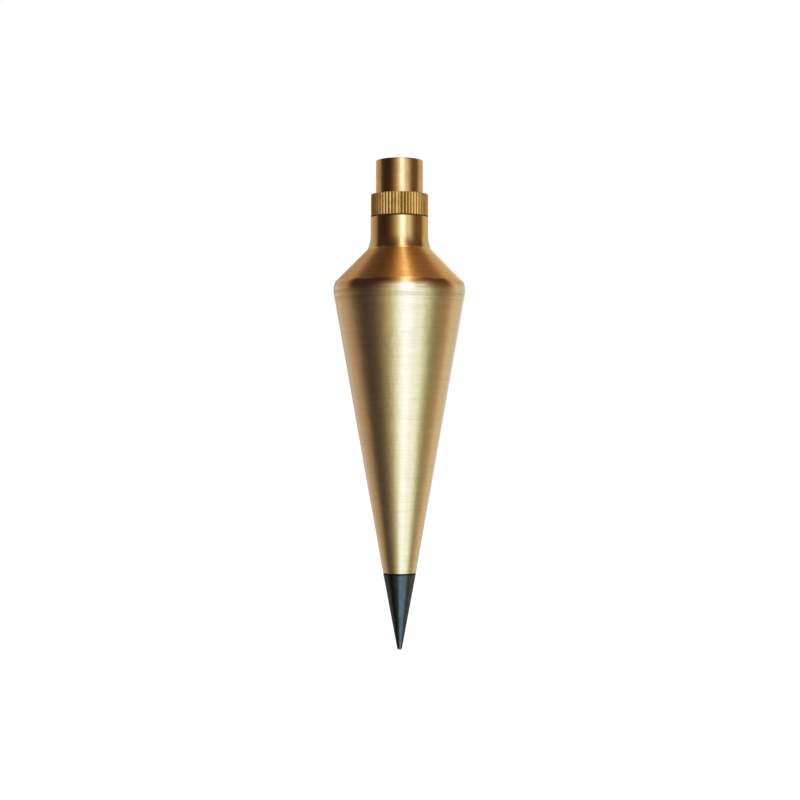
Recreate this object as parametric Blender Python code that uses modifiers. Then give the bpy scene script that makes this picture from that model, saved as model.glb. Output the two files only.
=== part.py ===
"""A 16 oz surveyor's plumb bob: a heavy turned weight that hangs from a line and points straight down.

It has three pieces, which come apart by unscrewing:

cap     brass; the line enters its top and the line's knot sits in its chamber
weight  solid brass; its neck takes the cap's thread and its lower end takes the point's thread
point   hardened steel, replaced when it is worn or bent

Frame: metres, +Z up. The origin is the centre of the cap's top face, where the line comes out,
and the bob hangs straight below it. Every piece is turned about the Z axis.

Threads are plain cylinders here. Each male thread is a little under its nominal size and each
tapped socket a little over it, so that mating pieces clear each other all round.
"""

import math

import bmesh
import bpy
from mathutils import Matrix

MM = 0.001

# Gaps between mating pieces
SEAT_GAP = 0.2 * MM  # between two faces that screw up tight against each other
THREAD_GAP = 0.15 * MM  # radial, between a male thread and its socket

# Cap: a smooth crown above a knurled ring, with a threaded spigot below
CROWN_DIAMETER = 13.6 * MM
CROWN_HEIGHT = 9.85 * MM
CROWN_CHAMFER = 0.35 * MM
RING_DIAMETER = 16.5 * MM  # over the crests of the knurl
RING_HEIGHT = 6.4 * MM
RING_CHAMFER = 0.2 * MM
KNURL_RIDGES = 52
KNURL_DEPTH = 0.4 * MM
KNURL_BAR_HALF_DIAGONAL = 0.45 * MM  # of the square bars that cut the grooves
KNURL_BAR_OVERHANG = 1.0 * MM  # past each end of the ring
LINE_HOLE_DIAMETER = 2.5 * MM
LINE_MOUTH_DIAMETER = 4.2 * MM  # of the countersink that the line rubs on
CAP_ROOF_THICKNESS = 5.0 * MM
KNOT_CHAMBER_DIAMETER = 7.0 * MM

# The cap's thread is 1/2 inch with 20 turns to the inch, the point's is 1/4 inch with 28
INCH = 25.4 * MM
CAP_THREAD_DIAMETER = INCH / 2
CAP_THREAD_PITCH = INCH / 20
CAP_SPIGOT_LENGTH = 9.5 * MM
CAP_TAPPED_DEPTH = 11.5 * MM
CAP_DRILLED_DEPTH = 15.0 * MM
POINT_THREAD_DIAMETER = INCH / 4
POINT_THREAD_PITCH = INCH / 28
POINT_SHANK_LENGTH = 9.0 * MM
POINT_TAPPED_DEPTH = 10.5 * MM
POINT_DRILLED_DEPTH = 12.5 * MM
THREAD_DEPTH = 0.613  # of a male 60 degree thread, as a share of its pitch
THREAD_CHAMFER = 0.5 * MM  # at the start of each male thread
SOCKET_CHAMFER = 0.3 * MM  # at the mouth of each socket
DRILL_POINT_ANGLE = math.radians(59)  # half the tip angle that a twist drill leaves

# Weight: a neck that flares into a slope, a rounded widest edge, then a long cone. Angles are from the
# axis. The slope meets the rounded edge at a slight crease, and every other change of angle is smooth.
WEIGHT_DIAMETER = 38.1 * MM  # at its widest, from 1 1/2 inch bar
WIDEST_Z = -37.1 * MM
NECK_DIAMETER = 16.7 * MM
NECK_CHAMFER = 0.15 * MM
FLARE_START_Z = -21.6 * MM
FLARE_RADIUS = 9.6 * MM
FLARE_ANGLE = math.radians(22)
SLOPE_FILLET = 2.2 * MM  # a tighter arc that turns the flare into the slope
SLOPE_ANGLE = math.radians(45)
EDGE_UPPER_RADIUS = 4.45 * MM
EDGE_UPPER_ANGLE = math.radians(30)  # where the slope meets the rounded edge
EDGE_LOWER_RADIUS = 10.0 * MM
CONE_ANGLE = math.radians(10)
WEIGHT_END_Z = -118.8 * MM

# Point: a slightly blunter cone that goes on from the weight's
POINT_ANGLE = math.radians(10.6)
TIP_Z = -141.1 * MM
TIP_ROUNDING = 0.6 * MM

# Finishes: base colour and roughness
POLISHED_BRASS = (0.60, 0.40, 0.17), 0.22
SATIN_BRASS = (0.66, 0.52, 0.28), 0.34
BLACKENED_STEEL = (0.035, 0.042, 0.050), 0.45

# Facets
WEIGHT_STEPS = 64
CAP_STEPS = KNURL_RIDGES  # so that one facet lies across each groove
POINT_STEPS = 40
ARC_STEP = math.radians(12)
WELD_DISTANCE = 0.01 * MM

# Heights and radii that follow from those
RING_TOP_Z = -CROWN_HEIGHT
RING_BOTTOM_Z = RING_TOP_Z - RING_HEIGHT
NECK_TOP_Z = RING_BOTTOM_Z - SEAT_GAP
SPIGOT_END_Z = RING_BOTTOM_Z - CAP_SPIGOT_LENGTH
POINT_SEAT_Z = WEIGHT_END_Z - SEAT_GAP


def minor_radius(diameter, pitch):
    """The radius at the roots of a male 60 degree thread."""
    return diameter / 2 - THREAD_DEPTH * pitch


def male_radius(diameter):
    return (diameter - THREAD_GAP) / 2


def socket_radius(diameter):
    return (diameter + THREAD_GAP) / 2


def arc(start_r, start_z, radius, start, end):
    """Outline points from a given one, along an arc whose tilt up goes from start to end. A negative
    radius makes a hollow arc."""
    steps = math.ceil(abs(end - start) / ARC_STEP)
    centre_r = start_r - radius * math.cos(start)
    centre_z = start_z - radius * math.sin(start)
    tilts = [start + (end - start) * k / steps for k in range(steps + 1)]
    return [(centre_r + radius * math.cos(t), centre_z + radius * math.sin(t)) for t in tilts]


def neck_flare():
    flare = arc(NECK_DIAMETER / 2, FLARE_START_Z, -FLARE_RADIUS, 0, FLARE_ANGLE)
    return flare[:-1] + arc(*flare[-1], -SLOPE_FILLET, FLARE_ANGLE, SLOPE_ANGLE)


def widest_edge():
    widest = WEIGHT_DIAMETER / 2
    upper = arc(widest, WIDEST_Z, EDGE_UPPER_RADIUS, 0, EDGE_UPPER_ANGLE)
    lower = arc(widest, WIDEST_Z, EDGE_LOWER_RADIUS, 0, -CONE_ANGLE)
    return upper[:0:-1] + lower


def weight_radius(z):
    """The radius of the long cone at height z."""
    top_r, top_z = widest_edge()[-1]
    return top_r - (top_z - z) * math.tan(CONE_ANGLE)


def blunt_tip(r):
    """The rounding where the point's cone, r wide at TIP_Z, meets the flat end of its tip."""
    reach = TIP_ROUNDING * math.tan((math.pi / 2 - POINT_ANGLE) / 2)
    start_r = r + reach * math.sin(POINT_ANGLE)
    start_z = TIP_Z + reach * math.cos(POINT_ANGLE)
    return arc(start_r, start_z, TIP_ROUNDING, -POINT_ANGLE, -math.pi / 2)


def metal(name, colour, roughness):
    material = bpy.data.materials.new(name)
    material.use_nodes = True
    shader = material.node_tree.nodes["Principled BSDF"]
    shader.inputs["Base Color"].default_value = (*colour, 1.0)
    shader.inputs["Metallic"].default_value = 1.0
    shader.inputs["Roughness"].default_value = roughness
    return material


def collection(name):
    made = bpy.data.collections.new(name)
    bpy.context.scene.collection.children.link(made)
    return made


def turned(name, outline, steps, material, home, closed=False):
    """A piece turned about Z from an outline that runs down its outer side."""
    profile = bmesh.new()
    points = [profile.verts.new((r, 0, z)) for r, z in outline]
    for start, end in zip(points, points[1:]):
        profile.edges.new((start, end))
    if closed:
        profile.edges.new((points[-1], points[0]))
    mesh = bpy.data.meshes.new(name)
    profile.to_mesh(mesh)
    profile.free()
    mesh.materials.append(material)

    piece = bpy.data.objects.new(name, mesh)
    home.objects.link(piece)
    screw = piece.modifiers.new("Turning", "SCREW")
    screw.axis = "Z"
    screw.steps = steps
    screw.render_steps = steps
    screw.use_merge_vertices = True
    screw.merge_threshold = WELD_DISTANCE
    screw.use_smooth_shade = True
    return piece


def knurling_bars(home):
    """Square bars standing round the ring, each with one corner inward, that cut its grooves."""
    bars = bmesh.new()
    height = RING_HEIGHT + 2 * KNURL_BAR_OVERHANG
    middle_z = (RING_TOP_Z + RING_BOTTOM_Z) / 2
    middle_radius = RING_DIAMETER / 2 - KNURL_DEPTH + KNURL_BAR_HALF_DIAGONAL
    for i in range(KNURL_RIDGES):
        angle = math.tau * (i + 0.5) / KNURL_RIDGES
        place = Matrix.Rotation(angle, 4, "Z") @ Matrix.Translation((middle_radius, 0, middle_z))
        bmesh.ops.create_cone(
            bars,
            segments=4,
            cap_ends=True,
            radius1=KNURL_BAR_HALF_DIAGONAL,
            radius2=KNURL_BAR_HALF_DIAGONAL,
            depth=height,
            matrix=place,
        )
    mesh = bpy.data.meshes.new("knurling_bars")
    bars.to_mesh(mesh)
    bars.free()

    cutter = bpy.data.objects.new("knurling_bars", mesh)
    cutter.hide_render = True
    cutter.display_type = "WIRE"
    home.objects.link(cutter)
    return cutter


def make_cap(brass, parts, cutters):
    """A crown and a knurled ring over a threaded spigot, bored right through for the line."""
    crown = CROWN_DIAMETER / 2
    ring = RING_DIAMETER / 2
    spigot = male_radius(CAP_THREAD_DIAMETER)
    relief = minor_radius(CAP_THREAD_DIAMETER, CAP_THREAD_PITCH)
    relief_end_z = RING_BOTTOM_Z - CAP_THREAD_PITCH
    chamber = KNOT_CHAMBER_DIAMETER / 2
    hole = LINE_HOLE_DIAMETER / 2
    mouth = LINE_MOUTH_DIAMETER / 2
    outline = [
        (mouth, 0),
        (crown - CROWN_CHAMFER, 0),
        (crown, -CROWN_CHAMFER),
        (crown, RING_TOP_Z),
        (ring - RING_CHAMFER, RING_TOP_Z),
        (ring, RING_TOP_Z - RING_CHAMFER),
        (ring, RING_BOTTOM_Z + RING_CHAMFER),
        (ring - RING_CHAMFER, RING_BOTTOM_Z),
        (relief, RING_BOTTOM_Z),
        (relief, relief_end_z),
        (spigot, relief_end_z - THREAD_CHAMFER),
        (spigot, SPIGOT_END_Z + THREAD_CHAMFER),
        (spigot - THREAD_CHAMFER, SPIGOT_END_Z),
        (chamber, SPIGOT_END_Z),
        (chamber, -CAP_ROOF_THICKNESS),
        (hole, -CAP_ROOF_THICKNESS),
        (hole, hole - mouth),
    ]
    cap = turned("cap", outline, CAP_STEPS, brass, parts, closed=True)
    knurl = cap.modifiers.new("Knurl", "BOOLEAN")
    knurl.operation = "DIFFERENCE"
    knurl.solver = "EXACT"
    knurl.object = knurling_bars(cutters)


def make_weight(brass, parts):
    """The solid body, with a tapped socket at each end."""
    neck = NECK_DIAMETER / 2
    end = weight_radius(WEIGHT_END_Z)
    upper = socket_radius(CAP_THREAD_DIAMETER)
    upper_drill = minor_radius(CAP_THREAD_DIAMETER, CAP_THREAD_PITCH)
    upper_floor_z = NECK_TOP_Z - CAP_DRILLED_DEPTH
    lower = socket_radius(POINT_THREAD_DIAMETER)
    lower_drill = minor_radius(POINT_THREAD_DIAMETER, POINT_THREAD_PITCH)
    lower_floor_z = WEIGHT_END_Z + POINT_DRILLED_DEPTH
    outline = [
        (0, upper_floor_z - upper_drill / math.tan(DRILL_POINT_ANGLE)),
        (upper_drill, upper_floor_z),
        (upper_drill, NECK_TOP_Z - CAP_TAPPED_DEPTH),
        (upper, NECK_TOP_Z - CAP_TAPPED_DEPTH),
        (upper, NECK_TOP_Z - SOCKET_CHAMFER),
        (upper + SOCKET_CHAMFER, NECK_TOP_Z),
        (neck - NECK_CHAMFER, NECK_TOP_Z),
        (neck, NECK_TOP_Z - NECK_CHAMFER),
        *neck_flare(),
        *widest_edge(),
        (end, WEIGHT_END_Z),
        (lower + SOCKET_CHAMFER, WEIGHT_END_Z),
        (lower, WEIGHT_END_Z + SOCKET_CHAMFER),
        (lower, WEIGHT_END_Z + POINT_TAPPED_DEPTH),
        (lower_drill, WEIGHT_END_Z + POINT_TAPPED_DEPTH),
        (lower_drill, lower_floor_z),
        (0, lower_floor_z + lower_drill / math.tan(DRILL_POINT_ANGLE)),
    ]
    turned("weight", outline, WEIGHT_STEPS, brass, parts)


def make_point(steel, parts):
    """The steel point: a threaded shank, a seat and a cone with a blunt tip."""
    shank = male_radius(POINT_THREAD_DIAMETER)
    relief = minor_radius(POINT_THREAD_DIAMETER, POINT_THREAD_PITCH)
    relief_end_z = POINT_SEAT_Z + POINT_THREAD_PITCH
    shank_end_z = POINT_SEAT_Z + POINT_SHANK_LENGTH
    base = weight_radius(POINT_SEAT_Z)
    tip = base - (POINT_SEAT_Z - TIP_Z) * math.tan(POINT_ANGLE)
    outline = [
        (0, shank_end_z),
        (shank - THREAD_CHAMFER, shank_end_z),
        (shank, shank_end_z - THREAD_CHAMFER),
        (shank, relief_end_z + THREAD_CHAMFER),
        (relief, relief_end_z),
        (relief, POINT_SEAT_Z),
        (base, POINT_SEAT_Z),
        *blunt_tip(tip),
        (0, TIP_Z),
    ]
    turned("point", outline, POINT_STEPS, steel, parts)


def main():
    for leftover in list(bpy.data.objects):
        bpy.data.objects.remove(leftover, do_unlink=True)
    parts = collection("plumb_bob")
    cutters = collection("cutters")
    polished_brass = metal("polished_brass", *POLISHED_BRASS)
    satin_brass = metal("satin_brass", *SATIN_BRASS)
    blackened_steel = metal("blackened_steel", *BLACKENED_STEEL)
    make_cap(polished_brass, parts, cutters)
    make_weight(satin_brass, parts)
    make_point(blackened_steel, parts)


main()
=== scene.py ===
"""The looks of the plumb bob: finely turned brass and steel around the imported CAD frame.

Each of the three CAD solids is replaced by one fine mesh of the same size, turned about Z, with the
parts that the CAD leaves plain: rounded edges, real knurl ridges and right-hand screw threads.
"""

import math

import bmesh
import bpy
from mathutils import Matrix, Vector


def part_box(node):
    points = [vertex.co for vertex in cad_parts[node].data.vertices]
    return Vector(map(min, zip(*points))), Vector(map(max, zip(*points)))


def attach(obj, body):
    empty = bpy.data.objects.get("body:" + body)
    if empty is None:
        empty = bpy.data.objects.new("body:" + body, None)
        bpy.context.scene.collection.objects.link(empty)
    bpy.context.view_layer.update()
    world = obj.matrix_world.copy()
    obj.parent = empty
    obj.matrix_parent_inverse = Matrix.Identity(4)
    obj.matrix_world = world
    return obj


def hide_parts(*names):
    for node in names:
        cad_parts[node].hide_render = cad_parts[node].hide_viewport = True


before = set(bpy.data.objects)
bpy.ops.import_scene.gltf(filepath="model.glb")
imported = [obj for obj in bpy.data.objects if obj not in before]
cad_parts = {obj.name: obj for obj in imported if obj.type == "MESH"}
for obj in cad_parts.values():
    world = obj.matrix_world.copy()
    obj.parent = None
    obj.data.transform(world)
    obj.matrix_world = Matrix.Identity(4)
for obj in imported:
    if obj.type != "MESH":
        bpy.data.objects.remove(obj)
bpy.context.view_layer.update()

MM = 0.001
INCH = 25.4 * MM

# Heights and radii that the CAD solids give
CAP_LOW, CAP_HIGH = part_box("cap")
WEIGHT_LOW, WEIGHT_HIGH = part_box("weight")
POINT_LOW, POINT_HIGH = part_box("point")
CAP_TOP_Z = CAP_HIGH.z
SPIGOT_END_Z = CAP_LOW.z
RING_RADIUS = CAP_HIGH.x
NECK_TOP_Z = WEIGHT_HIGH.z
WEIGHT_END_Z = WEIGHT_LOW.z
WIDEST_RADIUS = WEIGHT_HIGH.x
SHANK_END_Z = POINT_HIGH.z
TIP_Z = POINT_LOW.z
POINT_BASE_RADIUS = POINT_HIGH.x

# Cap
CROWN_RADIUS = 6.8 * MM
CROWN_EDGE = 0.35 * MM  # rounding
CROWN_FOOT = 0.15 * MM  # fillet where the crown meets the ring
SPIGOT_LENGTH = 9.5 * MM
RING_HEIGHT = 6.4 * MM
RING_BOTTOM_Z = SPIGOT_END_Z + SPIGOT_LENGTH
RING_TOP_Z = RING_BOTTOM_Z + RING_HEIGHT
RING_EDGE = 0.15 * MM
RING_LOWER_EDGE = RING_EDGE / 2
RELIEF_FILLET = 0.2 * MM  # where the relief groove meets the ring
LINE_HOLE_RADIUS = 1.25 * MM
LINE_MOUTH_RADIUS = 2.1 * MM
LINE_MOUTH_ROUNDING = 0.6 * MM  # smoothed so that it doesn't cut the line
LINE_MOUTH_DEPTH = 0.9 * MM  # the height over which the mouth narrows to the hole
LINE_THROAT_ROUNDING = 0.3 * MM
LINE_HOLE_LOWER_EDGE = 0.2 * MM
ROOF_THICKNESS = 5.0 * MM
CHAMBER_RADIUS = 3.5 * MM
CHAMBER_ROUNDING = 0.3 * MM  # in the corner under the roof
CHAMBER_MOUTH_EDGE = 0.2 * MM
KNURL_RIDGES = 52
KNURL_DEPTH = 0.38 * MM
KNURL_CREST = 0.09  # half the flat crest of a ridge, in pitches
KNURL_SOFTNESS = 0.06  # the crest's rounded edge, in pitches
KNURL_GROOVE = 0.5  # from the crest's middle to the groove's, in pitches
KNURL_SHARE = 0.74  # the mean depth of the ridges, as a share of the full depth
KNURL_SWING = 0.26  # how much that share rises and falls, once round the ring
KNURL_WAVE = 0.05  # and how much it does so again, this many times round the ring
KNURL_WAVES = 7
WORN_ANGLE = math.radians(262)  # the middle of a patch where the ridges are nearly flattened
WORN_WIDTH = math.radians(9)
WORN_SHARE = 0.7  # of the depth, which is gone in the middle of the patch

# Weight: a neck that flares into a slope, a rounded widest edge, then a long cone
NECK_RADIUS = 8.35 * MM
NECK_EDGE = 0.12 * MM
FLARE_START_Z = -21.6 * MM
FLARE_RADIUS = 9.6 * MM
FLARE_ANGLE = math.radians(22)
SLOPE_FILLET = 2.2 * MM
SLOPE_ANGLE = math.radians(45)
WIDEST_Z = -37.1 * MM
EDGE_UPPER_RADIUS = 4.45 * MM
EDGE_UPPER_ANGLE = math.radians(30)
EDGE_LOWER_RADIUS = 10.0 * MM
CONE_ANGLE = math.radians(10)
WEIGHT_END_EDGE = 0.06 * MM

# Point
POINT_ANGLE = math.radians(10.6)
POINT_SHANK_LENGTH = 9.0 * MM
POINT_SEAT_Z = SHANK_END_Z - POINT_SHANK_LENGTH
POINT_FILLET = 0.15 * MM  # where the relief groove meets the seat
POINT_SEAT_EDGE = 0.08 * MM
TIP_ROUNDING = 0.6 * MM

# Threads: 1/2 inch with 20 turns to the inch, and 1/4 inch with 28
CAP_THREAD_RADIUS = INCH / 4
CAP_PITCH = INCH / 20
POINT_THREAD_RADIUS = INCH / 8
POINT_PITCH = INCH / 28
THREAD_DEPTH = 0.5413  # of the pitch, for a 60 degree thread
RELIEF_DEPTH = 0.613  # of the pitch, below the nominal radius
CREST_HALF = 1 / 16  # of the pitch
ROOT_EDGE = 3 / 8  # of the pitch, from the crest's middle
FLANK_SOFTNESS = 0.5  # rounding of crest and root, from 0 to 1
THREAD_EASE = 0.045 * MM  # taken off each male thread and each socket
THREAD_LEAD = 0.05 * MM  # the chamfer at a male thread's start goes this far below its root
THREAD_RUNOUT = 0.5 * MM
SOCKET_LEAD = 0.35 * MM
CAP_TAPPED_DEPTH = 11.5 * MM
CAP_DRILLED_DEPTH = 15.0 * MM
POINT_TAPPED_DEPTH = 10.5 * MM
POINT_DRILLED_DEPTH = 12.5 * MM
DRILL_POINT_ANGLE = math.radians(59)

# How fine the meshes are
ARC_STEP = math.radians(5)
FEWEST_ARC_STEPS = 3
LONGEST_STEP = 3.0 * MM
SUPPORT = 0.12 * MM  # a ring this near each end of a straight stretch keeps its shading straight
SHORT_STRETCH = 4 * SUPPORT  # a stretch no longer than this gets no more rings
ROWS_PER_PITCH = 16
WEIGHT_COLUMNS = 160
POINT_COLUMNS = 128
SHARP = math.radians(40)

# Camera, level with the middle of the bob
LENS_MM = 72
SENSOR_MM = 36
CAMERA_DISTANCE = 461.6 * MM
EYE_Z = -69.06 * MM
EYE_X = 0.12 * MM
CAMERA_TILT = math.radians(90)  # looks level

# Turning lines run round the axis. FEED_SLOPE spaces them on flat faces as well as on round ones.
FEED_SLOPE = 0.8
LINE_LENGTH = 30 * MM  # how far a line runs before it changes
BRUSH_LENGTH = 5 * MM  # of the shorter marks on the cone
HIGHLIGHT_TURN = 0.25  # of a full turn, which stretches highlights across the turning lines
SLOPE_TOP_Z = -25.8 * MM  # the slope's deeper colour, a painted reflection, lies between these
SLOPE_BOTTOM_Z = WIDEST_Z + EDGE_UPPER_RADIUS * math.sin(EDGE_UPPER_ANGLE)
CONE_FINISH_Z = -37.5 * MM  # where the brushed finish of the cone starts
FINISH_BLUR = 0.05 * MM
EDGE_FADE = 1.2 * MM  # above the widest edge, where its colour starts to turn into the cone's
EDGE_LINES_DEPTH = 5.0 * MM  # how far the coarse lines below the widest edge reach down the cone
EDGE_SHADE_REACH = 0.12 * MM  # reach of the painted shade along the seams and of the painted dark reflection along the crown's top edge
CAP_SHADE_REACH = 2 * EDGE_SHADE_REACH
STEEL_SEAM_SHADE_REACH = 4 * EDGE_SHADE_REACH
SEAM_SHADE_INSET = 0.1 * MM  # how far in from a seam's outer edge the painted shade reaches
GROOVE_GRIME = 0.6  # share of grime at the bottom of the knurl's grooves
GROOVE_GRIME_START = 0.08 * MM  # below the crests
GROOVE_GRIME_FULL = 0.32 * MM
SEAT_FACE_SHADE_SHARE = 0.7  # share of the tarnish colour, as painted shade, on the weight's two flat faces, which the cap and the point seat on

# Turning lines as (spacing, detail) and, if they are short, their length
CAP_FINE_LINES = (0.12 * MM, 2.0)
CAP_COARSE_LINES = (0.6 * MM, 1.0)
WEIGHT_FINE_LINES = (0.16 * MM, 2.0)
WEIGHT_COARSE_LINES = (0.5 * MM, 3.0)
WEIGHT_BRUSHING = (0.45 * MM, 3.0, BRUSH_LENGTH)
STEEL_FINE_LINES = (0.15 * MM, 2.0)
SLOPE_COARSENESS = 0.75  # strength of the coarse lines there, against those below the widest edge
CONE_STREAKS = 0.16  # strength of their dark streaks on the rest of the cone
EVERYWHERE_COARSENESS = 0.15  # strength of their relief on the whole weight

# Roughness of the noise textures behind the lines and the patches
LINES_NOISE_ROUGHNESS = 0.5
CLOUDS_NOISE_ROUGHNESS = 0.6

# Soft patches as (size, detail)
CAP_HAZE = (2.5 * MM, 3.0)
WEIGHT_HAZE = (5.0 * MM, 4.0)
WEIGHT_WAVES = (7.0 * MM, 1.5)
WEIGHT_RIPPLES = (1.8 * MM, 2.0)
STEEL_HAZE = (1.6 * MM, 4.0)
STEEL_WEAR = (0.8 * MM, 3.0)
WEAR_RAGGEDNESS = 1.2 * MM
WEAR_START = 0.2 * MM  # above the tip
WEAR_FULL = 0.5 * MM  # below the tip, since the ragged edge is shifted down

# Tarnish as (noise where it starts, noise where it is full, its share at the start, its share in full)
CAP_TARNISH = (0.40, 0.75, 0.0, 0.45)
WEIGHT_TARNISH = (0.50, 0.90, 0.0, 0.14)
STREAK_TARNISH = (0.40, 0.70, 0.0, 0.60)
BRUSH_TARNISH = (0.35, 0.75, 0.0, 0.13)
OXIDE_PATCHES = (0.30, 0.75)  # noise where the paler oxide starts and where it is full

# Roughness of each metal, and what its parts and marks add to it
CAP_ROUGHNESS = 0.14
CAP_LINES_ROUGHNESS = 0.10
CAP_HAZE_ROUGHNESS = 0.08
RING_ROUGHNESS = 0.28
WEIGHT_ROUGHNESS = 0.18
WEIGHT_LINES_ROUGHNESS = 0.06
SLOPE_ROUGHNESS = 0.03
SEAT_ROUGHNESS = 0.3
CONE_ROUGHNESS = 0.09
STEEL_ROUGHNESS = 0.10
STEEL_HAZE_ROUGHNESS = 0.08

# Depth of the relief
CAP_COARSE_DEPTH = 0.003 * MM
CAP_FINE_DEPTH = 0.0015 * MM
WAVES_DEPTH = 0.08 * MM
RIPPLES_DEPTH = 0.035 * MM
BRUSHING_DEPTH = 0.003 * MM
TURNING_DEPTH = 0.006 * MM
WEIGHT_FINE_DEPTH = 0.0012 * MM
STEEL_FINE_DEPTH = 0.0015 * MM

# How far highlights are stretched, from 0 to 1
CAP_ANISOTROPY = 0.6
WEIGHT_ANISOTROPY = 0.75
STEEL_ANISOTROPY = 0.5

# Metal colours
POLISHED_COLOUR = (0.82, 0.58, 0.24, 1.0)
RING_COLOUR = (0.95, 0.62, 0.17, 1.0)
# the shoulder's deep orange is a painted reflection of a warm ceiling on the same brass
SHOULDER_PAINTED_REFLECTION_COLOUR = (0.82, 0.44, 0.10, 1.0)
# the cone's paler brushed brass, brightened in part as painted light for the brighter light it reflects
SATIN_AND_PAINTED_LIGHT_COLOUR = (0.93, 0.78, 0.49, 1.0)
TARNISH_COLOUR = (0.50, 0.32, 0.14, 1.0)
# dirt in the knurl's grooves, plus painted shade along the seams and a painted dark reflection along the
# crown's top edge
DIRT_AND_SHADE_COLOUR = (0.13, 0.08, 0.04, 1.0)
EDGE_COLOUR = (0.82, 0.52, 0.20, 1.0)
# painted shade on the steel where it seats on the weight
STEEL_SEAM_SHADE_COLOUR = (0.010, 0.010, 0.012, 1.0)
OXIDE_COLOUR = (0.071, 0.089, 0.104, 1.0)
OXIDE_PALE_COLOUR = (0.105, 0.130, 0.150, 1.0)
BARE_STEEL_COLOUR = (0.26, 0.26, 0.25, 1.0)
OXIDE_METALLIC = 0.97
OXIDE_EDGE_TINT = (0.55, 0.58, 0.60, 1.0)  # of what it reflects where it is seen edge on

# Light that the metal reflects, as (x of the direction, colour) from the left wall to the right one
FLOOR_LIGHT = 1.2
FRONT_STUDIO = (
    (-1.00, (0.04, 0.03, 0.02)),
    (-0.92, (0.03, 0.02, 0.03)),
    (-0.66, (0.07, 0.04, 0.04)),
    (-0.48, (0.20, 0.13, 0.10)),
    (-0.30, (0.46, 0.34, 0.25)),
    (-0.10, (0.92, 0.85, 0.77)),
    (0.10, (1.28, 1.62, 2.45)),
    (0.26, (1.90, 2.15, 3.60)),
    (0.48, (0.85, 1.00, 1.15)),
    (0.64, (0.92, 0.90, 0.85)),
    (0.80, (0.32, 0.25, 0.20)),
    (0.92, (0.13, 0.09, 0.06)),
    (1.00, (0.15, 0.09, 0.05)),
)
UPPER_STUDIO = (
    (-1.00, (0.12, 0.08, 0.07)),
    (-0.85, (0.05, 0.03, 0.04)),
    (-0.45, (0.05, 0.03, 0.03)),
    (-0.25, (0.10, 0.06, 0.06)),
    (-0.10, (0.35, 0.24, 0.20)),
    (0.00, (0.70, 0.54, 0.42)),
    (0.16, (2.20, 2.10, 2.60)),
    (0.30, (0.90, 0.62, 0.40)),
    (0.45, (0.26, 0.12, 0.06)),
    (0.65, (0.10, 0.04, 0.03)),
    (0.90, (0.08, 0.03, 0.02)),
    (1.00, (0.20, 0.14, 0.12)),
)
LOWER_STUDIO = (
    (-1.00, (0.12, 0.07, 0.03)),
    (-0.90, (0.05, 0.03, 0.02)),
    (-0.78, (0.08, 0.05, 0.03)),
    (-0.64, (0.18, 0.13, 0.07)),
    (-0.47, (0.44, 0.38, 0.22)),
    (-0.29, (0.77, 0.78, 0.49)),
    (-0.10, (1.04, 1.20, 1.22)),
    (0.10, (1.15, 1.40, 2.05)),
    (0.30, (1.12, 1.38, 2.05)),
    (0.47, (1.12, 1.34, 1.95)),
    (0.64, (1.14, 1.35, 1.55)),
    (0.78, (0.72, 0.82, 0.62)),
    (0.89, (0.36, 0.35, 0.21)),
    (1.00, (0.32, 0.24, 0.11)),
)
BOTTOM_STUDIO = (
    (-1.00, (0.10, 0.08, 0.06)),
    (-0.88, (0.05, 0.04, 0.03)),
    (-0.62, (0.06, 0.06, 0.05)),
    (-0.40, (0.12, 0.12, 0.10)),
    (-0.25, (0.27, 0.29, 0.24)),
    (-0.10, (0.82, 0.94, 0.88)),
    (0.06, (1.24, 1.46, 1.48)),
    (0.30, (1.14, 1.38, 1.44)),
    (0.64, (1.17, 1.40, 1.41)),
    (0.77, (0.75, 0.88, 0.74)),
    (0.87, (0.20, 0.23, 0.20)),
    (0.94, (0.10, 0.11, 0.09)),
    (1.00, (0.16, 0.14, 0.10)),
)
CEILING_STUDIO = (
    (-1.00, (0.30, 0.24, 0.22)),
    (-0.50, (0.16, 0.12, 0.12)),
    (-0.30, (0.10, 0.07, 0.08)),
    (-0.15, (0.18, 0.13, 0.13)),
    (-0.05, (0.60, 0.45, 0.42)),
    (0.04, (0.90, 0.76, 0.74)),
    (0.10, (1.64, 1.68, 2.05)),
    (0.14, (1.16, 1.16, 1.42)),
    (0.18, (0.50, 0.40, 0.37)),
    (0.25, (0.30, 0.20, 0.16)),
    (0.36, (0.25, 0.16, 0.13)),
    (0.45, (0.23, 0.15, 0.13)),
    (0.60, (0.34, 0.26, 0.26)),
    (1.00, (0.45, 0.40, 0.36)),
)
BACK_STUDIO = (
    (-1.00, (0.23, 0.16, 0.10)),
    (-0.90, (0.48, 0.35, 0.26)),
    (-0.75, (0.52, 0.42, 0.36)),
    (-0.55, (0.62, 0.56, 0.54)),
    (-0.25, (0.42, 0.36, 0.34)),
    (0.00, (1.50, 1.50, 1.45)),
    (0.15, (1.70, 1.70, 1.70)),
    (0.30, (0.80, 0.72, 0.65)),
    (0.60, (0.60, 0.58, 0.54)),
    (0.90, (0.70, 0.56, 0.40)),
    (1.00, (0.26, 0.16, 0.09)),
)
# Heights and depths of the direction between which one part of the studio blends into the next
UPPER_FROM, UPPER_TO = 0.05, 0.68
LOWER_FROM, LOWER_TO = 0.06, -0.34
BOTTOM_FROM, BOTTOM_TO = -0.37, -0.49
BACK_FROM, BACK_TO = -0.05, 0.25
BACK_LEAN = 0.3  # the back wall leans away from the bob as it goes up
CEILING_FROM, CEILING_TO = 0.62, 0.84
OVERHEAD_FROM, OVERHEAD_TO = -0.22, -0.02
PAPER_COLOUR = (0.70, 0.67, 0.62, 1.0)
PAPER_SHARE = 0.8
PAPER_FROM, PAPER_TO = -0.50, -0.85
WHITE = (1.0, 1.0, 1.0, 1.0)

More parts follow.
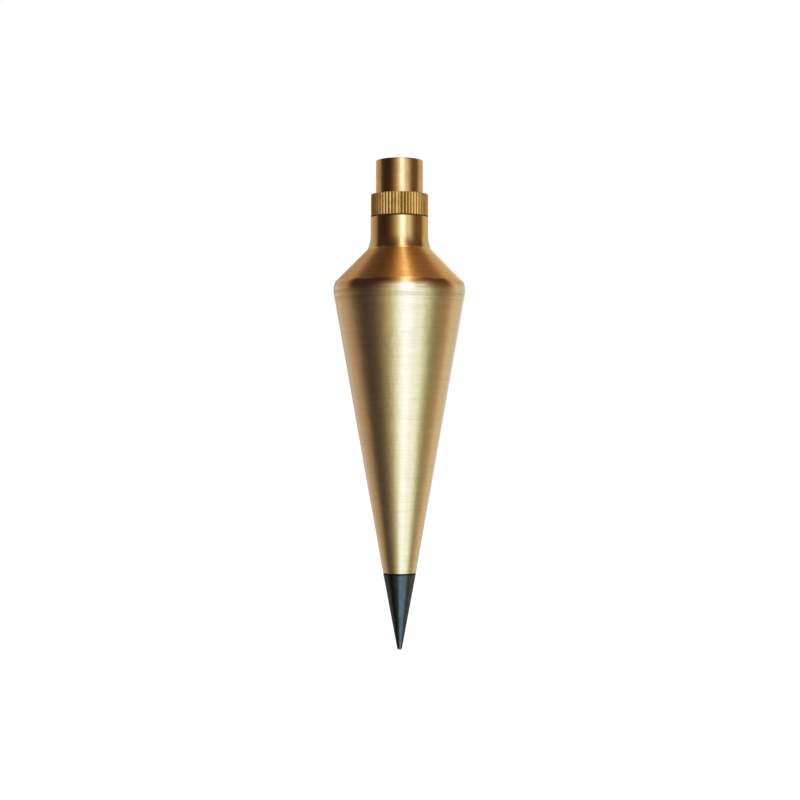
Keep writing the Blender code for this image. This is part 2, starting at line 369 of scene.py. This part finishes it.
# Floor
FLOOR_SIZE = 6.0
FLOOR_DROP = 0.15  # below the tip, since the bob hangs
FLOOR_COLOUR = (0.95, 0.95, 0.95, 1.0)

# The numbers of node sockets that share their name with another
MIX_FACTOR, MIX_FIRST, MIX_SECOND, MIX_RESULT = 0, 6, 7, 2
FIRST_SHADER, SECOND_SHADER = 1, 2


# Outlines


def bend(start_r, start_z, radius, start, end):
    """Outline points from a given one, along an arc whose tilt up goes from start to end. A negative
    radius makes a hollow arc."""
    steps = math.ceil(abs(end - start) / ARC_STEP)
    centre_r = start_r - radius * math.cos(start)
    centre_z = start_z - radius * math.sin(start)
    tilts = [start + (end - start) * k / steps for k in range(steps + 1)]
    return [(centre_r + radius * math.cos(t), centre_z + radius * math.sin(t), 0) for t in tilts]


def arc(corner, before, after):
    """The points of the arc that rounds a corner and touches both its sides."""
    r, z, rounding = corner
    way_in = math.atan2(z - before[1], r - before[0])
    way_out = math.atan2(after[1] - z, after[0] - r)
    turn = math.remainder(way_out - way_in, math.tau)
    reach = rounding * math.tan(abs(turn) / 2)
    side = math.copysign(rounding, turn)
    centre_r = r - reach * math.cos(way_in) - side * math.sin(way_in)
    centre_z = z - reach * math.sin(way_in) + side * math.cos(way_in)
    steps = max(FEWEST_ARC_STEPS, math.ceil(abs(turn) / ARC_STEP))
    headings = [way_in + turn * k / steps for k in range(steps + 1)]
    return [(centre_r + side * math.sin(h), centre_z - side * math.cos(h)) for h in headings]


def rounded(corners, closed=False):
    """An outline through (radius, z, rounding) corners."""
    outline = []
    for i, corner in enumerate(corners):
        is_end = not closed and i in (0, len(corners) - 1)
        if corner[2] and not is_end:
            outline += arc(corner, corners[i - 1], corners[(i + 1) % len(corners)])
        else:
            outline.append(corner[:2])
    return outline


def refined(outline, step_at, closed=False):
    """The outline with rings added along its straight stretches, near their ends and then evenly."""
    fine = []
    ends = outline[1:] + outline[:1] if closed else outline[1:]
    for start, end in zip(outline, ends):
        length = math.dist(start, end)
        step = step_at((start[0] + end[0]) / 2, (start[1] + end[1]) / 2)
        places = [0.0]
        if length > SHORT_STRETCH:
            inner = length - 2 * SUPPORT
            count = max(1, math.ceil(inner / step))
            places += [(SUPPORT + inner * k / count) / length for k in range(count + 1)]
        for t in places:
            fine.append((start[0] + (end[0] - start[0]) * t, start[1] + (end[1] - start[1]) * t))
    if not closed:
        fine.append(outline[-1])
    return fine


def even_angles(count):
    return [math.tau * i / count for i in range(count)]


def turned(name, outline, angles, cut, material, closed=False):
    """A closed mesh turned about Z. cut(radius, z, angle) gives the radius that is left there."""
    body = bmesh.new()
    rings = []
    for r, z in outline:
        if r == 0:
            rings.append([body.verts.new((0, 0, z))])
            continue
        radii = [cut(r, z, a) for a in angles]
        places = [(k * math.cos(a), k * math.sin(a), z) for k, a in zip(radii, angles)]
        rings.append([body.verts.new(place) for place in places])
    pairs = list(zip(rings, rings[1:]))
    if closed:
        pairs.append((rings[-1], rings[0]))
    count = len(angles)
    for upper, lower in pairs:
        for i in range(count):
            j = (i + 1) % count
            corners = [upper[i % len(upper)], lower[i % len(lower)]]
            corners += [lower[j % len(lower)], upper[j % len(upper)]]
            body.faces.new(list(dict.fromkeys(corners)))
    mesh = bpy.data.meshes.new(name)
    body.to_mesh(mesh)
    body.free()
    mesh.shade_smooth()
    mesh.set_sharp_from_angle(angle=SHARP)
    mesh.materials.append(material)
    piece = bpy.data.objects.new(name, mesh)
    bpy.context.scene.collection.objects.link(piece)
    return piece


# Threads and knurl


def tooth(z, angle, pitch):
    """Height of a right-hand thread at this place, from 0 at its root to 1 at its crest."""
    turns = z / pitch - angle / math.tau
    from_crest = abs(turns - round(turns))
    rise = (ROOT_EDGE - from_crest) / (ROOT_EDGE - CREST_HALF)
    rise = min(1.0, max(0.0, rise))
    soft = rise * rise * (3 - 2 * rise)
    return rise + (soft - rise) * FLANK_SOFTNESS


def male_thread(r, z, angle, radius, pitch):
    """The spigot's radius r cut down to a thread of this nominal radius."""
    root = radius - THREAD_EASE - THREAD_DEPTH * pitch
    return min(r, root + THREAD_DEPTH * pitch * tooth(z, angle, pitch))


def socket_thread(r, z, angle, radius, pitch, fade):
    """The drilled hole's radius r opened out by a thread, which fades where the tap stops."""
    crest = radius + THREAD_EASE - THREAD_DEPTH * pitch
    return max(r, crest + THREAD_DEPTH * pitch * tooth(z, angle, pitch) * fade)


def knurl_angles():
    """The angles of the mesh's columns, which follow the crest, its rounded edges and the groove."""
    edge = KNURL_CREST + KNURL_SOFTNESS
    places = (-edge, -KNURL_CREST, KNURL_CREST, edge, KNURL_GROOVE)
    return [math.tau * (i + place) / KNURL_RIDGES for i in range(KNURL_RIDGES) for place in places]


def knurl_depth(angle):
    """Depth of the knurl here. The ridges aren't all equally deep, and one patch is worn."""
    ridges = angle / math.tau * KNURL_RIDGES
    from_crest = abs(ridges - round(ridges))
    past_crest = from_crest - KNURL_CREST - KNURL_SOFTNESS / 2
    whole_flank = KNURL_GROOVE - KNURL_CREST - KNURL_SOFTNESS / 2
    down = max(0.0, past_crest) / whole_flank
    worn = math.exp(-(((angle - WORN_ANGLE) / WORN_WIDTH) ** 2))
    share = KNURL_SHARE - KNURL_SWING * math.cos(angle) + KNURL_WAVE * math.sin(KNURL_WAVES * angle)
    return KNURL_DEPTH * down * share * (1 - WORN_SHARE * worn)


# Pieces


def thread_step(pitch):
    return pitch / ROWS_PER_PITCH


def make_cap(material):
    spigot = CAP_THREAD_RADIUS - THREAD_EASE
    relief = CAP_THREAD_RADIUS - RELIEF_DEPTH * CAP_PITCH
    relief_end = RING_BOTTOM_Z - CAP_PITCH
    lead = THREAD_DEPTH * CAP_PITCH + THREAD_LEAD
    roof = CAP_TOP_Z - ROOF_THICKNESS
    corners = [
        (LINE_MOUTH_RADIUS, CAP_TOP_Z, LINE_MOUTH_ROUNDING),
        (CROWN_RADIUS, CAP_TOP_Z, CROWN_EDGE),
        (CROWN_RADIUS, RING_TOP_Z, CROWN_FOOT),
        (RING_RADIUS, RING_TOP_Z, RING_EDGE),
        (RING_RADIUS, RING_BOTTOM_Z, RING_LOWER_EDGE),
        (relief, RING_BOTTOM_Z, RELIEF_FILLET),
        (relief, relief_end, 0),
        (spigot, relief_end - THREAD_RUNOUT, 0),
        (spigot, SPIGOT_END_Z + lead, 0),
        (spigot - lead, SPIGOT_END_Z, 0),
        (CHAMBER_RADIUS, SPIGOT_END_Z, CHAMBER_MOUTH_EDGE),
        (CHAMBER_RADIUS, roof, CHAMBER_ROUNDING),
        (LINE_HOLE_RADIUS, roof, LINE_HOLE_LOWER_EDGE),
        (LINE_HOLE_RADIUS, CAP_TOP_Z - LINE_MOUTH_DEPTH, LINE_THROAT_ROUNDING),
    ]

    def is_spigot(r, z):
        return r > spigot - lead and z < relief_end

    def step_at(r, z):
        return thread_step(CAP_PITCH) if is_spigot(r, z) else LONGEST_STEP

    def cut(r, z, angle):
        if is_spigot(r, z):
            return male_thread(r, z, angle, CAP_THREAD_RADIUS, CAP_PITCH)
        if RING_BOTTOM_Z <= z <= RING_TOP_Z:
            return min(r, RING_RADIUS - knurl_depth(angle))
        return r

    outline = refined(rounded(corners, closed=True), step_at, closed=True)
    piece = turned("knurled_cap", outline, knurl_angles(), cut, material, closed=True)
    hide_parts("cap")
    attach(piece, "cap")


def make_weight(material):
    flare = bend(NECK_RADIUS, FLARE_START_Z, -FLARE_RADIUS, 0, FLARE_ANGLE)
    fillet = bend(*flare[-1][:2], -SLOPE_FILLET, FLARE_ANGLE, SLOPE_ANGLE)
    upper_edge = bend(WIDEST_RADIUS, WIDEST_Z, EDGE_UPPER_RADIUS, 0, EDGE_UPPER_ANGLE)
    lower_edge = bend(WIDEST_RADIUS, WIDEST_Z, EDGE_LOWER_RADIUS, 0, -CONE_ANGLE)
    cone_radius, cone_top, _ = lower_edge[-1]
    end_radius = cone_radius - (cone_top - WEIGHT_END_Z) * math.tan(CONE_ANGLE)
    upper = CAP_THREAD_RADIUS + THREAD_EASE - THREAD_DEPTH * CAP_PITCH
    upper_end = NECK_TOP_Z - CAP_TAPPED_DEPTH
    upper_floor = NECK_TOP_Z - CAP_DRILLED_DEPTH
    lower = POINT_THREAD_RADIUS + THREAD_EASE - THREAD_DEPTH * POINT_PITCH
    lower_end = WEIGHT_END_Z + POINT_TAPPED_DEPTH
    lower_floor = WEIGHT_END_Z + POINT_DRILLED_DEPTH
    upper_mouth = CAP_THREAD_RADIUS + SOCKET_LEAD
    lower_mouth = POINT_THREAD_RADIUS + SOCKET_LEAD
    corners = [
        (0, upper_floor - upper / math.tan(DRILL_POINT_ANGLE), 0),
        (upper, upper_floor, 0),
        (upper, upper_end, 0),
        (upper, NECK_TOP_Z - (upper_mouth - upper), 0),
        (upper_mouth, NECK_TOP_Z, 0),
        (NECK_RADIUS, NECK_TOP_Z, NECK_EDGE),
        *flare,
        *fillet[1:],
        *upper_edge[:0:-1],
        *lower_edge,
        (end_radius, WEIGHT_END_Z, WEIGHT_END_EDGE),
        (lower_mouth, WEIGHT_END_Z, 0),
        (lower, WEIGHT_END_Z + (lower_mouth - lower), 0),
        (lower, lower_end, 0),
        (lower, lower_floor, 0),
        (0, lower_floor + lower / math.tan(DRILL_POINT_ANGLE), 0),
    ]

    def is_upper_socket(r, z):
        return r < upper_mouth and z > upper_end

    def is_lower_socket(r, z):
        return r < lower_mouth and z < lower_end

    def step_at(r, z):
        if is_upper_socket(r, z):
            return thread_step(CAP_PITCH)
        if is_lower_socket(r, z):
            return thread_step(POINT_PITCH)
        return LONGEST_STEP

    def cut(r, z, angle):
        if is_upper_socket(r, z):
            fade = min(1, max(0, (z - upper_end) / CAP_PITCH))
            return socket_thread(r, z, angle, CAP_THREAD_RADIUS, CAP_PITCH, fade)
        if is_lower_socket(r, z):
            fade = min(1, max(0, (lower_end - z) / POINT_PITCH))
            return socket_thread(r, z, angle, POINT_THREAD_RADIUS, POINT_PITCH, fade)
        return r

    outline = refined(rounded(corners), step_at)
    piece = turned("brass_weight", outline, even_angles(WEIGHT_COLUMNS), cut, material)
    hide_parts("weight")
    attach(piece, "weight")


def make_point(material):
    shank = POINT_THREAD_RADIUS - THREAD_EASE
    relief = POINT_THREAD_RADIUS - RELIEF_DEPTH * POINT_PITCH
    relief_end = POINT_SEAT_Z + POINT_PITCH
    lead = THREAD_DEPTH * POINT_PITCH + THREAD_LEAD
    tip = POINT_BASE_RADIUS - (POINT_SEAT_Z - TIP_Z) * math.tan(POINT_ANGLE)
    corners = [
        (0, SHANK_END_Z, 0),
        (shank - lead, SHANK_END_Z, 0),
        (shank, SHANK_END_Z - lead, 0),
        (shank, relief_end + THREAD_RUNOUT, 0),
        (relief, relief_end, 0),
        (relief, POINT_SEAT_Z, POINT_FILLET),
        (POINT_BASE_RADIUS, POINT_SEAT_Z, POINT_SEAT_EDGE),
        (tip, TIP_Z, TIP_ROUNDING),
        (0, TIP_Z, 0),
    ]

    def is_shank(r, z):
        return r > shank - lead and z > relief_end

    def step_at(r, z):
        return thread_step(POINT_PITCH) if is_shank(r, z) else LONGEST_STEP

    def cut(r, z, angle):
        if is_shank(r, z):
            return male_thread(r, z, angle, POINT_THREAD_RADIUS, POINT_PITCH)
        return r

    outline = refined(rounded(corners), step_at)
    piece = turned("steel_point", outline, even_angles(POINT_COLUMNS), cut, material)
    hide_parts("point")
    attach(piece, "point")


# Materials


class Graph:
    """Adds nodes to a node tree. An input takes a plain value or another node's output."""

    def __init__(self, tree):
        self.tree = tree
        tree.nodes.clear()

    def node(self, kind, inputs=None, **settings):
        made = self.tree.nodes.new(kind)
        for name, value in settings.items():
            setattr(made, name, value)
        for name, value in (inputs or {}).items():
            self.feed(made.inputs[name], value)
        return made

    def feed(self, socket, value):
        if isinstance(value, bpy.types.NodeSocket):
            self.tree.links.new(value, socket)
        else:
            socket.default_value = value

    def math(self, operation, *values, clamp=False):
        made = self.node("ShaderNodeMath", dict(enumerate(values)), operation=operation, use_clamp=clamp)
        return made.outputs[0]

    def between(self, value, start, end, low=0.0, high=1.0, smooth=True):
        """low where value is at start and high where it is at end, with a smooth or straight change."""
        places = {"Value": value, "From Min": start, "From Max": end, "To Min": low, "To Max": high}
        kind = "SMOOTHSTEP" if smooth else "LINEAR"
        return self.node("ShaderNodeMapRange", places, interpolation_type=kind).outputs["Result"]

    def mix(self, factor, first, second):
        made = self.node("ShaderNodeMix", data_type="RGBA")
        self.feed(made.inputs[MIX_FACTOR], factor)
        self.feed(made.inputs[MIX_FIRST], first)
        self.feed(made.inputs[MIX_SECOND], second)
        return made.outputs[MIX_RESULT]

    def mix_shaders(self, factor, first, second):
        sockets = {"Fac": factor, FIRST_SHADER: first, SECOND_SHADER: second}
        return self.node("ShaderNodeMixShader", sockets).outputs["Shader"]

    def background(self, colour, strength=1.0):
        lit = self.node("ShaderNodeBackground", {"Color": colour, "Strength": strength})
        return lit.outputs["Background"]

    def noise(self, vector, detail, roughness):
        """Noise from 0 to 1, one feature to each unit of the vector."""
        places = {"Vector": vector, "Scale": 1.0, "Detail": detail, "Roughness": roughness}
        return self.node("ShaderNodeTexNoise", places).outputs["Fac"]

    def ramp(self, value, stops):
        """A colour for each value, from (value, colour) stops between -1 and 1."""
        made = self.node("ShaderNodeValToRGB", {"Fac": self.between(value, -1, 1, smooth=False)})
        elements = made.color_ramp.elements
        while len(elements) < len(stops):
            elements.new(0.5)  # all the places are set below
        for element, (place, colour) in zip(elements, stops):
            element.position = (place + 1) / 2
            element.color = (*colour, 1.0)
        return made.outputs["Color"]


class TurnedMetal(Graph):
    """A metal turned about Z, with places along and around its axis to vary it by."""

    def __init__(self, name, anisotropy):
        self.material = bpy.data.materials.new(name)
        self.material.use_nodes = True
        super().__init__(self.material.node_tree)
        self.place = self.node("ShaderNodeTexCoord").outputs["Object"]
        self.axes = self.node("ShaderNodeSeparateXYZ", {"Vector": self.place}).outputs
        self.z = self.axes["Z"]
        flat = self.node("ShaderNodeCombineXYZ", {"X": self.axes["X"], "Y": self.axes["Y"]}).outputs[0]
        self.radius = self.node("ShaderNodeVectorMath", {0: flat}, operation="LENGTH").outputs["Value"]
        self.feed_path = self.math("MULTIPLY_ADD", self.radius, -FEED_SLOPE, self.z)
        around = self.node("ShaderNodeTangent", direction_type="RADIAL", axis="Z").outputs["Tangent"]
        self.shader = self.node(
            "ShaderNodeBsdfPrincipled",
            {
                "Metallic": 1.0,
                "Anisotropic": anisotropy,
                "Anisotropic Rotation": HIGHLIGHT_TURN,
                "Tangent": around,
            },
        )
        self.node("ShaderNodeOutputMaterial", {"Surface": self.shader.outputs["BSDF"]})

    def lines(self, spacing, detail, length=LINE_LENGTH):
        """The lines that a lathe tool leaves round the piece, from 0 to 1."""
        stretched = self.node(
            "ShaderNodeCombineXYZ",
            {
                "X": self.math("DIVIDE", self.axes["X"], length),
                "Y": self.math("DIVIDE", self.axes["Y"], length),
                "Z": self.math("DIVIDE", self.feed_path, spacing),
            },
        )
        return self.noise(stretched.outputs["Vector"], detail, LINES_NOISE_ROUGHNESS)

    def clouds(self, size, detail):
        """Soft patches of this size, from 0 to 1."""
        scaled = self.node("ShaderNodeVectorMath", {0: self.place, "Scale": 1 / size}, operation="SCALE")
        return self.noise(scaled.outputs["Vector"], detail, CLOUDS_NOISE_ROUGHNESS)

    def near(self, value, place, reach):
        """1 where value is at place, fading to 0 at this reach from it."""
        away = self.math("ABSOLUTE", self.math("SUBTRACT", value, place))
        return self.between(away, reach, 0.0)

    def seam(self, z, radius, reach):
        """1 along a seam at this height, but 0 on the flat faces inside this radius."""
        outside = self.between(self.radius, radius - 2 * SEAM_SHADE_INSET, radius - SEAM_SHADE_INSET)
        return self.math("MULTIPLY", self.near(self.z, z, reach), outside)

    def below(self, z):
        """1 below this height and 0 above it."""
        return self.between(self.z, z + FINISH_BLUR, z - FINISH_BLUR)

    def bump(self, height, depth, normal=None):
        """The surface normal with this relief on it, over the relief that normal already has."""
        made = self.node("ShaderNodeBump", {"Height": height, "Distance": depth, "Strength": 1.0})
        if normal:
            self.feed(made.inputs["Normal"], normal)
        return made.outputs["Normal"]

    def finish(self, colour, roughness, *heights):
        """Joins the colour, the roughness and (height, depth) pairs of relief. A depth is in metres."""
        bump = None
        for height, depth in heights:
            bump = self.bump(height, depth, bump)
        self.feed(self.shader.inputs["Base Color"], colour)
        self.feed(self.shader.inputs["Roughness"], roughness)
        self.feed(self.shader.inputs["Normal"], bump)
        return self.material


def polished_brass():
    """The cap's brass: a bright crown with very fine turning lines and a painted dark reflection along
    its top edge, and a duller ring with dirt in its grooves and painted shade along the seam below it.
    """
    metal = TurnedMetal("polished_brass", CAP_ANISOTROPY)
    fine = metal.lines(*CAP_FINE_LINES)
    coarse = metal.lines(*CAP_COARSE_LINES)
    haze = metal.clouds(*CAP_HAZE)
    on_ring = metal.below(RING_TOP_Z)
    groove_top = RING_RADIUS - GROOVE_GRIME_START
    groove_bottom = RING_RADIUS - GROOVE_GRIME_FULL
    groove = metal.between(metal.radius, groove_top, groove_bottom, 0.0, GROOVE_GRIME)
    groove = metal.math("MULTIPLY", groove, on_ring)
    # painted shade along the seam under the ring
    seam = metal.seam(RING_BOTTOM_Z, RING_RADIUS - KNURL_DEPTH, CAP_SHADE_REACH)
    # painted dark reflection along the crown's top edge
    dark_rim_reflection = metal.near(metal.z, CAP_TOP_Z, CAP_SHADE_REACH)
    dark_rim_reflection = metal.math("MULTIPLY", dark_rim_reflection, metal.near(metal.radius, CROWN_RADIUS, CROWN_EDGE))
    colour = metal.mix(on_ring, POLISHED_COLOUR, RING_COLOUR)
    colour = metal.mix(metal.between(haze, *CAP_TARNISH), colour, TARNISH_COLOUR)
    # dirt in the grooves, painted shade along the seam and the painted dark reflection at the rim
    for dirt_and_shade in (groove, seam, dark_rim_reflection):
        colour = metal.mix(dirt_and_shade, colour, DIRT_AND_SHADE_COLOUR)
    roughness = metal.math("MULTIPLY_ADD", coarse, CAP_LINES_ROUGHNESS, CAP_ROUGHNESS)
    roughness = metal.math("MULTIPLY_ADD", haze, CAP_HAZE_ROUGHNESS, roughness)
    roughness = metal.math("MULTIPLY_ADD", on_ring, RING_ROUGHNESS, roughness)
    return metal.finish(colour, roughness, (coarse, CAP_COARSE_DEPTH), (fine, CAP_FINE_DEPTH))


def satin_brass():
    """The weight's brass: polished neck, a shoulder painted deep golden as a reflection of a warm
    ceiling, a pale brushed cone brightened in part as painted light, and painted shade along the seams
    and on the seat faces.
    """
    metal = TurnedMetal("satin_brass", WEIGHT_ANISOTROPY)
    fine = metal.lines(*WEIGHT_FINE_LINES)
    coarse = metal.lines(*WEIGHT_COARSE_LINES)
    haze = metal.clouds(*WEIGHT_HAZE)
    waves = metal.clouds(*WEIGHT_WAVES)
    ripples = metal.clouds(*WEIGHT_RIPPLES)
    brushing = metal.lines(*WEIGHT_BRUSHING)
    on_edge = metal.below(SLOPE_BOTTOM_Z)
    on_slope = metal.math("SUBTRACT", metal.below(SLOPE_TOP_Z), on_edge)
    on_cone = metal.below(CONE_FINISH_Z)
    below_edge = metal.between(metal.z, CONE_FINISH_Z - EDGE_LINES_DEPTH, CONE_FINISH_Z)
    coarseness = metal.math("MULTIPLY", on_cone, below_edge)
    coarseness = metal.math("MULTIPLY_ADD", on_slope, SLOPE_COARSENESS, coarseness)
    # the slope takes a painted reflection of a warm ceiling as its colour
    colour = metal.mix(on_slope, POLISHED_COLOUR, SHOULDER_PAINTED_REFLECTION_COLOUR)
    towards_cone = metal.between(metal.z, WIDEST_Z + EDGE_FADE, CONE_FINISH_Z)
    # towards the cone the edge takes the cone's pale colour, brightened in part as painted light
    edge_colour = metal.mix(towards_cone, EDGE_COLOUR, SATIN_AND_PAINTED_LIGHT_COLOUR)
    colour = metal.mix(on_edge, colour, edge_colour)
    colour = metal.mix(metal.between(haze, *WEIGHT_TARNISH), colour, TARNISH_COLOUR)
    streakiness = metal.math("MULTIPLY_ADD", on_cone, CONE_STREAKS, coarseness)
    streaks = metal.math("MULTIPLY", metal.between(coarse, *STREAK_TARNISH), streakiness)
    colour = metal.mix(streaks, colour, TARNISH_COLOUR)
    brush_marks = metal.math("MULTIPLY", metal.between(brushing, *BRUSH_TARNISH), on_cone)
    colour = metal.mix(brush_marks, colour, TARNISH_COLOUR)
    seats = 0.0
    for seam_z, radius in ((NECK_TOP_Z, NECK_RADIUS), (WEIGHT_END_Z, POINT_BASE_RADIUS)):
        # painted shade along the seams where the cap and the point meet the weight
        seam = metal.seam(seam_z, radius, EDGE_SHADE_REACH)
        seat = metal.math("SUBTRACT", metal.near(metal.z, seam_z, EDGE_SHADE_REACH), seam, clamp=True)
        seats = metal.math("ADD", seats, seat)
        colour = metal.mix(seam, colour, DIRT_AND_SHADE_COLOUR)
    # painted shade on the seat faces, in the tarnish colour
    colour = metal.mix(metal.math("MULTIPLY", seats, SEAT_FACE_SHADE_SHARE), colour, TARNISH_COLOUR)
    roughness = metal.math("MULTIPLY_ADD", on_slope, SLOPE_ROUGHNESS, WEIGHT_ROUGHNESS)
    roughness = metal.math("MULTIPLY_ADD", seats, SEAT_ROUGHNESS, roughness)
    roughness = metal.math("MULTIPLY_ADD", on_cone, CONE_ROUGHNESS, roughness)
    roughness = metal.math("MULTIPLY_ADD", fine, WEIGHT_LINES_ROUGHNESS, roughness)
    turning = metal.math("MULTIPLY", coarse, metal.math("ADD", coarseness, EVERYWHERE_COARSENESS))
    ripples = metal.math("MULTIPLY", ripples, on_cone)
    brushing = metal.math("MULTIPLY", brushing, on_cone)
    return metal.finish(
        colour,
        roughness,
        (waves, WAVES_DEPTH),
        (ripples, RIPPLES_DEPTH),
        (brushing, BRUSHING_DEPTH),
        (turning, TURNING_DEPTH),
        (fine, WEIGHT_FINE_DEPTH),
    )


def blackened_steel():
    """The point's steel: dark oxide, worn bright at the very tip, with painted shade where it seats on
    the weight.
    """
    metal = TurnedMetal("blackened_steel", STEEL_ANISOTROPY)
    fine = metal.lines(*STEEL_FINE_LINES)
    haze = metal.clouds(*STEEL_HAZE)
    ragged = metal.math("MULTIPLY_ADD", metal.clouds(*STEEL_WEAR), -WEAR_RAGGEDNESS, metal.z)
    worn = metal.between(ragged, TIP_Z + WEAR_START, TIP_Z - WEAR_FULL)
    colour = metal.mix(metal.between(haze, *OXIDE_PATCHES), OXIDE_COLOUR, OXIDE_PALE_COLOUR)
    colour = metal.mix(worn, colour, BARE_STEEL_COLOUR)
    # painted shade along the steel's seat on the weight
    colour = metal.mix(metal.near(metal.z, POINT_SEAT_Z, STEEL_SEAM_SHADE_REACH), colour, STEEL_SEAM_SHADE_COLOUR)
    metal.feed(metal.shader.inputs["Metallic"], OXIDE_METALLIC)
    metal.feed(metal.shader.inputs["Specular Tint"], OXIDE_EDGE_TINT)
    roughness = metal.math("MULTIPLY_ADD", haze, STEEL_HAZE_ROUGHNESS, STEEL_ROUGHNESS)
    return metal.finish(colour, roughness, (fine, STEEL_FINE_DEPTH))


# Stage


def make_world():
    """A studio for the metal to reflect, with a tall soft light and dark gaps. The camera sees white."""
    world = bpy.data.worlds.new("studio")
    bpy.context.scene.world = world
    world.use_nodes = True
    graph = Graph(world.node_tree)
    direction = graph.node("ShaderNodeTexCoord").outputs["Generated"]
    x, y, z = graph.node("ShaderNodeSeparateXYZ", {"Vector": direction}).outputs
    depth = graph.math("MULTIPLY_ADD", z, -BACK_LEAN, y)
    overhead = graph.between(y, OVERHEAD_FROM, OVERHEAD_TO)
    overhead = graph.math("MULTIPLY", overhead, graph.between(z, CEILING_FROM, CEILING_TO))
    seen = graph.ramp(x, FRONT_STUDIO)
    for share, stops in (
        (graph.between(z, UPPER_FROM, UPPER_TO), UPPER_STUDIO),
        (graph.between(z, LOWER_FROM, LOWER_TO), LOWER_STUDIO),
        (graph.between(z, BOTTOM_FROM, BOTTOM_TO), BOTTOM_STUDIO),
        (graph.between(depth, BACK_FROM, BACK_TO), BACK_STUDIO),
        (overhead, CEILING_STUDIO),
    ):
        seen = graph.mix(share, seen, graph.ramp(x, stops))
    seen = graph.mix(graph.between(z, PAPER_FROM, PAPER_TO, 0.0, PAPER_SHARE), seen, PAPER_COLOUR)
    path = graph.node("ShaderNodeLightPath").outputs
    reflected = graph.background(seen)
    plain = graph.background(WHITE)
    lamp = graph.background(WHITE, FLOOR_LIGHT)
    dull = graph.mix_shaders(path["Is Diffuse Ray"], reflected, lamp)
    shown = graph.mix_shaders(path["Is Camera Ray"], dull, plain)
    graph.node("ShaderNodeOutputWorld", {"Surface": shown})


def make_floor():
    floor_mesh = bpy.data.meshes.new("floor")
    body = bmesh.new()
    bmesh.ops.create_grid(body, size=FLOOR_SIZE / 2)
    body.to_mesh(floor_mesh)
    body.free()
    floor = bpy.data.objects.new("floor", floor_mesh)
    floor.location.z = TIP_Z - FLOOR_DROP
    floor.visible_glossy = False
    bpy.context.scene.collection.objects.link(floor)
    paper = bpy.data.materials.new("white_paper")
    paper.use_nodes = True
    shader = paper.node_tree.nodes["Principled BSDF"]
    shader.inputs["Base Color"].default_value = FLOOR_COLOUR
    shader.inputs["Roughness"].default_value = 1.0
    shader.inputs["Specular IOR Level"].default_value = 0.0
    floor_mesh.materials.append(paper)


def make_camera():
    camera_data = bpy.data.cameras.new("camera")
    camera_data.lens = LENS_MM
    camera_data.sensor_width = SENSOR_MM
    camera = bpy.data.objects.new("camera", camera_data)
    camera.location = Vector((EYE_X, -CAMERA_DISTANCE, EYE_Z))
    camera.rotation_euler.x = CAMERA_TILT
    bpy.context.scene.collection.objects.link(camera)
    bpy.context.scene.camera = camera


make_camera()
make_world()
make_floor()
make_cap(polished_brass())
make_weight(satin_brass())
make_point(blackened_steel())
bpy.context.scene.view_settings.view_transform = "Standard"
